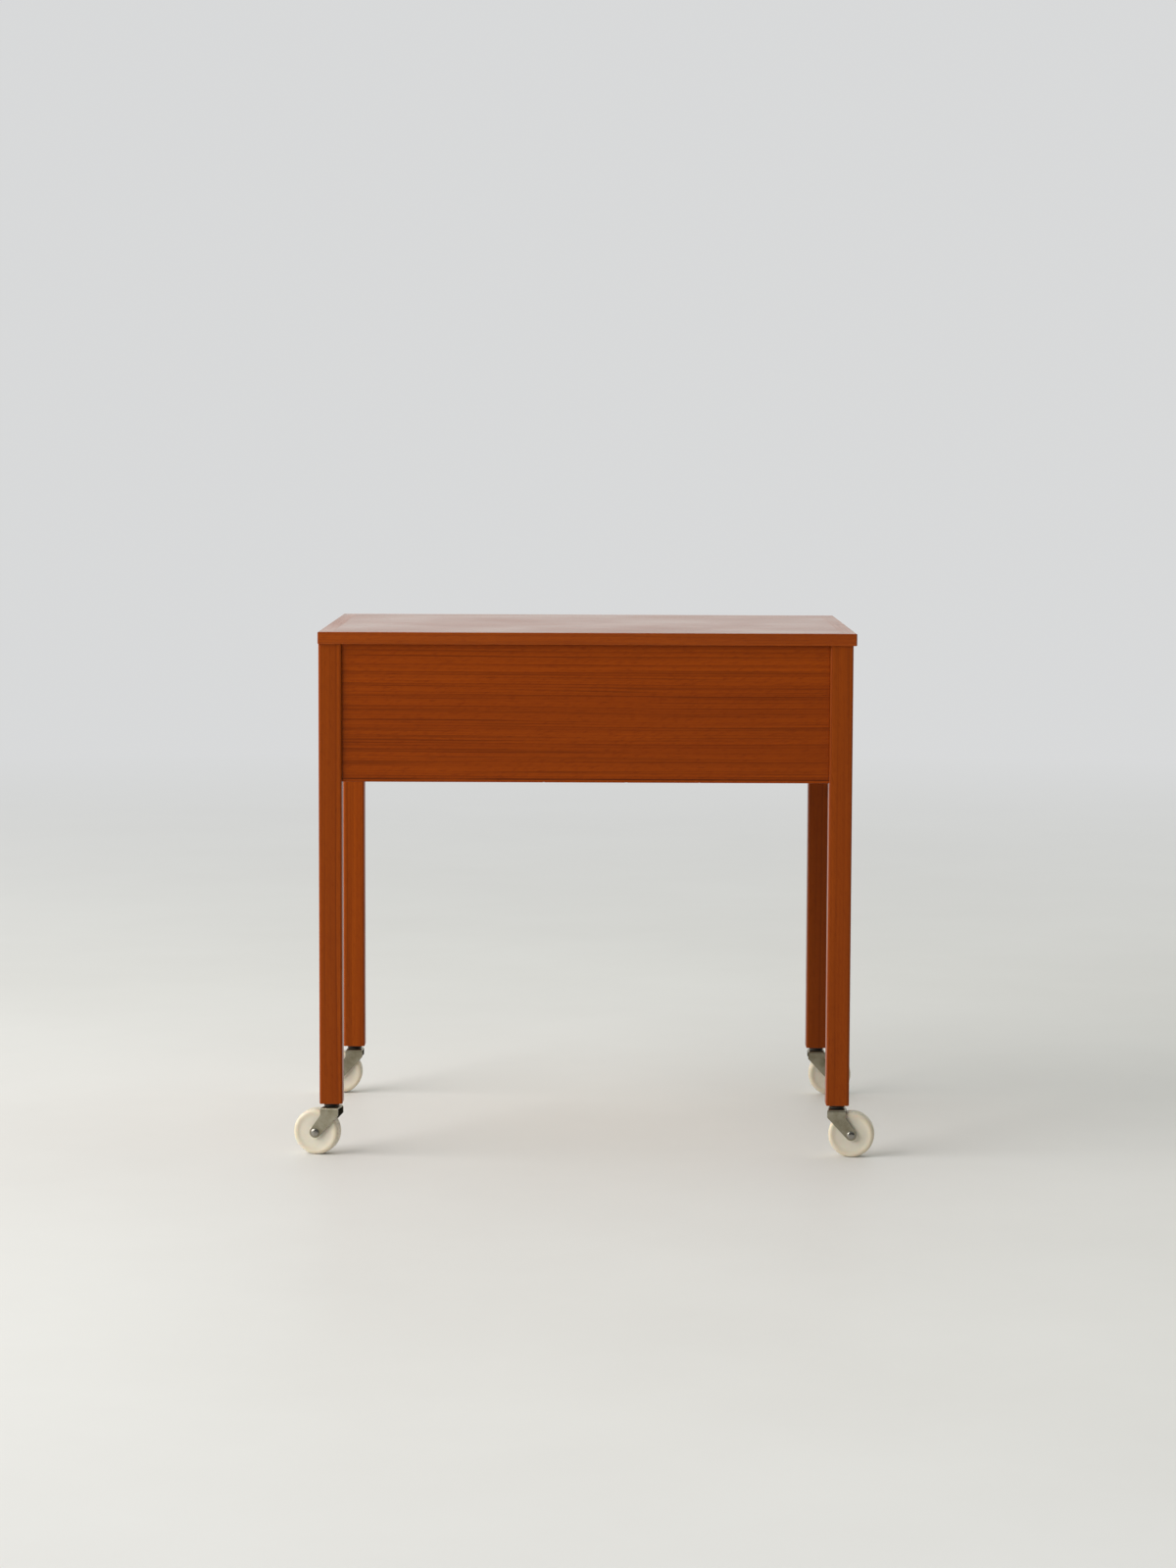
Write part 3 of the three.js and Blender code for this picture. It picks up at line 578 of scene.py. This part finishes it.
def chips():
    """Tools for the small chips that are out of the front panel's lower edge."""
    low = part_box("front_apron")[0]
    tools = bmesh.new()
    for x, width in CHIPS:
        start = len(tools.verts)
        bmesh.ops.create_icosphere(tools, subdivisions=3, radius=1.0)
        tools.verts.ensure_lookup_table()
        for vertex in tools.verts[start:]:
            size = Vector((width / 2, CHIP_REACH, CHIP_HEIGHT)) * MM
            vertex.co = Vector((x * MM, low[1], low[2])) + vertex.co * size
    return tools


def add_box():
    """The veneer's growth lines lie one above the other on all four aprons."""
    for side, along in (("front", X), ("back", X), ("left", Y), ("right", Y)):
        tool = chips() if side == "front" else None
        board(f"{side}_apron", "frame", "teak_veneer-box", along, APRON_ARRIS, 90,
              high=(0, 0, SETTLE), segments=2, outside=(Z, -1, 1), tool=tool)
    board("bottom_board", "frame", "plywood", X, BOTTOM_ARRIS, 60, segments=2)
    for side, inward in (("front", 1), ("back", -1)):
        node = f"{side}_tray_runner"
        low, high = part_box(node)
        face = high[1] if inward > 0 else low[1]
        places = [Vector((x * MM, face, (low[2] + high[2]) / 2)) for x in RUNNER_SCREWS]
        out = (0, inward, 0)
        tool = countersinks(places, out, RUNNER_HEAD)
        board(node, "frame", "beech", X, RUNNER_ARRIS, 45, tool=tool)
        screws(node, places, out, RUNNER_HEAD, "frame", "bright_steel")


def add_lid():
    """The lippings and the panel close their glue lines to a hair. The lid's outer edges are
    eased wider."""
    board("lid_panel", "lid", "teak_veneer-lid", X, SHARP_ARRIS, 8, (-SEAM, -SEAM, -SETTLE),
          (SEAM, SEAM, 0), segments=1)
    for side, axis, sign in (("front", Y, -1), ("back", Y, 1), ("left", X, -1), ("right", X, 1)):
        along = X if axis == Y else Y
        low, high = [-SEAM, -SEAM, -SETTLE], [SEAM, SEAM, 0]
        (low if sign < 0 else high)[axis] = 0
        board(f"lid_lipping_{side}", "lid", "teak_solid-lid", along, LID_ARRIS, 35, low, high,
              segments=4, outside=(axis, sign))


def add_tray():
    """Thin beech sides and dividers round a plywood floor."""
    along_y = ("tray_left_side", "tray_right_side", "tray_long_divider")
    along_x = ("tray_front", "tray_back", "tray_left_front_divider", "tray_left_back_divider",
               "tray_right_divider")
    for node in along_y:
        board(node, "tray", "beech", Y, TRAY_ARRIS, 80)
    for node in along_x:
        board(node, "tray", "beech", X, TRAY_ARRIS, 80)
    board("tray_floor", "tray", "plywood", X, FLOOR_ARRIS, 60, segments=2)


# ---- Castors ---------------------------------------------------------------------------------
def middle(node):
    """The middle of a CAD node's box."""
    low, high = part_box(node)
    return (Vector(low) + Vector(high)) / 2


def wheel_outline():
    """Half of the wheel's closed section as (radius, distance from its middle plane) points."""
    half, radius = WHEEL_HALF_WIDTH, WHEEL_RADIUS
    dish = half - 0.9 * MM
    points = [(3.0 * MM, half), (6.0 * MM, half)]
    points += arc((6.0 * MM, half - 0.5 * MM), 0.5 * MM, 80, 0, 3)
    points += arc((7.3 * MM, dish + 0.4 * MM), 0.4 * MM, 190, 270, 4)
    points += [(14.0 * MM, dish), (16.5 * MM, dish + 0.08 * MM)]
    points += [(18.5 * MM, dish + 0.34 * MM), (20.0 * MM, half - 0.12 * MM), (20.8 * MM, half)]
    points += arc((radius - 3.6 * MM, half - 3.6 * MM), 3.6 * MM, 84, 0, 12)
    return points + [(radius, 0.3 * MM), (radius - 0.05 * MM, 0.12 * MM)]


def axle_direction(corner):
    """Across the way that a castor trails from its stem to its wheel."""
    trail = middle(f"castor_{corner}_wheel") - middle(f"castor_{corner}_stem")
    return Vector((-trail.y, trail.x, 0)).normalized()


def add_wheel(corner):
    """A nylon wheel with full shoulders, a shallow dished face, a hub boss and a mould line. The
    "rim" attribute runs from 0 at its middle to 1 on the tread."""
    node = f"castor_{corner}_wheel"
    centre = middle(node)
    across = axle_direction(corner)
    side = wheel_outline()
    outline = side + [(r, -d) for r, d in reversed(side)]
    piece = to_object(f"{node}_nylon", lathe(outline, 128, centre, across), "nylon")
    rim = piece.data.attributes.new("rim", "FLOAT", "POINT")
    for index, vertex in enumerate(piece.data.vertices):
        away = vertex.co - centre
        reach = (away - across * away.dot(across)).length
        rim.data[index].value = reach / WHEEL_RADIUS
    hand_over(piece, f"wheel_{corner}", "nylon", node)


def turned(node, outline, centre, across, body, material, ease=0.2):
    """A turned piece with eased corners, from a closed outline in millimetres."""
    mesh = lathe([(r * MM, d * MM) for r, d in outline], 64, centre, across)
    soften(mesh, ease * MM, 2, 28.0)
    piece = to_object(f"{node}_turned", mesh, material, 40.0)
    hand_over(piece, body, material, node)


def outline_heights(node, centre):
    """A CAD node's lowest and highest points above centre, in millimetres."""
    low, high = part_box(node)
    return (low[2] - centre.z) / MM, (high[2] - centre.z) / MM


def add_castor_metal(corner):
    """Socket, bearing, stem, fork and axle of one castor, each turned or pressed from steel.
    Outlines are in millimetres. The "inside" attribute marks the fork's inner faces, which the fork
    steel darkens as painted shade."""
    prefix = f"castor_{corner}"
    swivel = middle(f"{prefix}_stem")
    swivel.z = 0
    up = (0, 0, 1)

    low, high = outline_heights(f"{prefix}_socket", swivel)
    socket = [(3.8, low), (8.2, low), (8.6, low + 0.4), (8.6, low + 1.2)]
    socket += [(5, low + 1.2), (5, high), (3.8, high)]
    turned(f"{prefix}_socket", socket, swivel, up, "frame", "dark_steel")

    low, high = outline_heights(f"{prefix}_bearing", swivel)
    cup = [(3.9, low), (7.5, low)]
    cup += arc((7.4, (low + high) / 2), (high - low) / 2, -80, 80, 8)
    cup += [(7.5, high), (3.9, high)]
    turned(f"{prefix}_bearing", cup, swivel, up, "frame", "dark_steel", ease=0.08)

    low, high = outline_heights(f"{prefix}_stem", swivel)
    rivet = [(0, low), (2.4, low), (3.8, low + 0.5), (4.6, low + 1.4), (4.6, low + 2.2)]
    rivet += [(3.5, low + 2.2), (3.5, high - 1.5), (2.4, high), (0, high)]
    turned(f"{prefix}_stem", rivet, swivel, up, "frame", "bright_steel")

    centre = middle(f"{prefix}_axle")
    across = axle_direction(corner)
    rim, dome = AXLE_FACE + 0.25, 1.45
    head = [(2.6, AXLE_FACE), (AXLE_HEAD - 0.1, AXLE_FACE), (AXLE_HEAD, rim)]
    for degrees in range(9, 90, 9):
        turn = math.radians(degrees)
        head.append((AXLE_HEAD * math.cos(turn), rim + dome * math.sin(turn)))
    head.append((0, rim + dome))
    other = [(r, -d) for r, d in head]
    turned(f"{prefix}_axle", list(reversed(head)) + other, centre, across, f"fork_{corner}",
           "bright_steel", ease=0.08)

    fork = node_bmesh(f"{prefix}_fork")
    soften(fork, 0.35 * MM, 3, 50.0)
    piece = to_object(f"{prefix}_fork_pressed", fork, "fork_steel", 40.0)
    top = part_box(f"{prefix}_fork")[1][2]
    # mask for the painted shade on the fork's inner faces
    inside = piece.data.attributes.new("inside", "FLOAT", "POINT")
    for index, vertex in enumerate(piece.data.vertices):
        below_cheek = FORK_HALF_WIDTH - abs((vertex.co - centre).dot(across))
        inside.data[index].value = min(below_cheek, top - vertex.co.z) / FORK_GAUGE
    hand_over(piece, f"fork_{corner}", "fork_steel", f"{prefix}_fork")


def metal_copy(node, body, material, ease):
    """A metal piece in a CAD node's shape, with eased edges."""
    mesh = node_bmesh(node)
    soften(mesh, ease * MM, 2, 50.0)
    piece = to_object(node + "_metal", mesh, material, 40.0)
    hand_over(piece, body, material, node)
    return piece


def screws(name, places, outward, radius, body, material):
    """A numbered screw at each place."""
    for index, place in enumerate(places):
        screw(f"{name}_screw_{index + 1}", place, outward, radius, body, material)


def add_hinges():
    """Brass butt hinges. Each leaf is let in flush, a hair from the pin's height, and three
    screws hold it."""
    for side in ("left", "right"):
        for part, body, up in (("lower", "frame", 1), ("upper", "lid", -1)):
            node = f"hinge_leaf_{part}_{side}"
            leaf = metal_copy(node, body, "brass", 0.15)
            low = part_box(node)[0]
            centre = middle(node)
            level = centre.z - up * HALF_LID_CLEARANCE
            front = Vector((centre.x, low[1], level))
            places = [front + Vector((x, y, 0)) * MM for x, y in LEAF_SCREWS]
            carve(leaf, countersinks(places, (0, 0, up), HINGE_HEAD))
            screws(node, places, (0, 0, up), HINGE_HEAD, body, "brass")
        metal_copy(f"hinge_pin_{side}", "frame", "brass", 0.15)


def add_hardware():
    """Castors, hinges, and the stay with its two fixings."""
    for corner in CORNERS:
        add_wheel(corner)
        add_castor_metal(corner)
    add_hinges()
    metal_copy("stay_arm", "stay", "brass", 0.2)
    metal_copy("stay_guide_screw", "frame", "brass", 0.2)
    bracket = metal_copy("stay_lid_bracket", "lid", "brass", 0.2)
    low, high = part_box("stay_lid_bracket")
    under = Vector((low[0], (low[1] + high[1]) / 2, high[2] - BRACKET_GAUGE))
    places = [under + Vector((x, y, 0)) * MM for x, y in BRACKET_SCREWS]
    carve(bracket, countersinks(places, (0, 0, -1), BRACKET_HEAD))
    screws("stay_lid_bracket", places, (0, 0, -1), BRACKET_HEAD, "lid", "brass")


# ---- Studio ----------------------------------------------------------------------------------
def add_floor():
    """A pale floor that fades into the backdrop far from the table."""
    shader = Shader("floor", Roughness=0.55)
    place = shader.node("TexCoord", output=3)
    cloud = shader.noise(place, 1.3, detail=6, roughness=0.6)
    tone = shader.mix(shader.remap(cloud, 0.3, 0.7), *FLOOR_TONES)
    shader.feed(shader.surface.inputs["Base Color"], tone)
    glow = shader.node("Emission", {"Color": BACKDROP_TINT, "Strength": BACKDROP})
    far = shader.node("VectorMath", {0: place}, output=1, operation="LENGTH")
    fade = shader.remap(far, 1.2, 5.0)
    blend = shader.node("MixShader", {0: fade, 1: shader.surface.outputs[0], 2: glow})
    shader.feed(shader.tree.nodes["Material Output"].inputs[0], blend)
    mesh = bmesh.new()
    bmesh.ops.create_circle(mesh, cap_ends=True, segments=96, radius=FLOOR_RADIUS)
    data = bpy.data.meshes.new("floor")
    mesh.to_mesh(data)
    mesh.free()
    data.materials.append(shader.material)
    floor = bpy.data.objects.new("floor", data)
    bpy.context.scene.collection.objects.link(floor)


def add_room():
    """A pale room, brightest behind and above the table and dim on the camera's side. What the
    camera sees of it directly is one plain pale tone."""
    world = bpy.data.worlds.new("studio")
    world.use_nodes = True
    tree = Tree(world.node_tree)
    direction = tree.node("SeparateXYZ", {0: tree.node("TexCoord")}).node.outputs
    front = tree.remap(direction[Z], 0.0, 0.7, ROOM_FRONT_LOW, ROOM_FRONT_HIGH, "SMOOTHSTEP")
    depth = tree.remap(direction[Y], -0.9, 0.5, front, ROOM_BACK, "SMOOTHSTEP")
    side = tree.remap(direction[X], -1.0, 1.0, 1.25, 0.7, "SMOOTHSTEP")
    level = tree.math("MULTIPLY", depth, side)
    seen = tree.node("LightPath")
    background = world.node_tree.nodes["Background"]
    tree.feed(background.inputs["Color"], tree.mix(seen, ROOM_TINT, BACKDROP_TINT))
    tree.feed(background.inputs["Strength"], tree.remap(seen, 0.0, 1.0, level, BACKDROP))
    bpy.context.scene.world = world
    bpy.context.scene.view_settings.view_transform = "Standard"


def add_window():
    """A broad soft light from the left and a little in front."""
    data = bpy.data.lights.new("window", "AREA")
    data.shape = "RECTANGLE"
    data.size = 4.8
    data.size_y = 3.5
    data.energy = 240
    data.color = (1.0, 0.98, 0.95)
    window = bpy.data.objects.new("window", data)
    window.location = (-4.1, -1.85, 2.4)
    towards = Vector((0, 0, 0.4)) - window.location
    window.rotation_euler = towards.to_track_quat("-Z", "Y").to_euler()
    bpy.context.scene.collection.objects.link(window)


add_camera()
add_materials()
add_legs()
add_box()
add_lid()
add_tray()
add_hardware()
keep_broad_faces_flat()
add_floor()
add_room()
add_window()
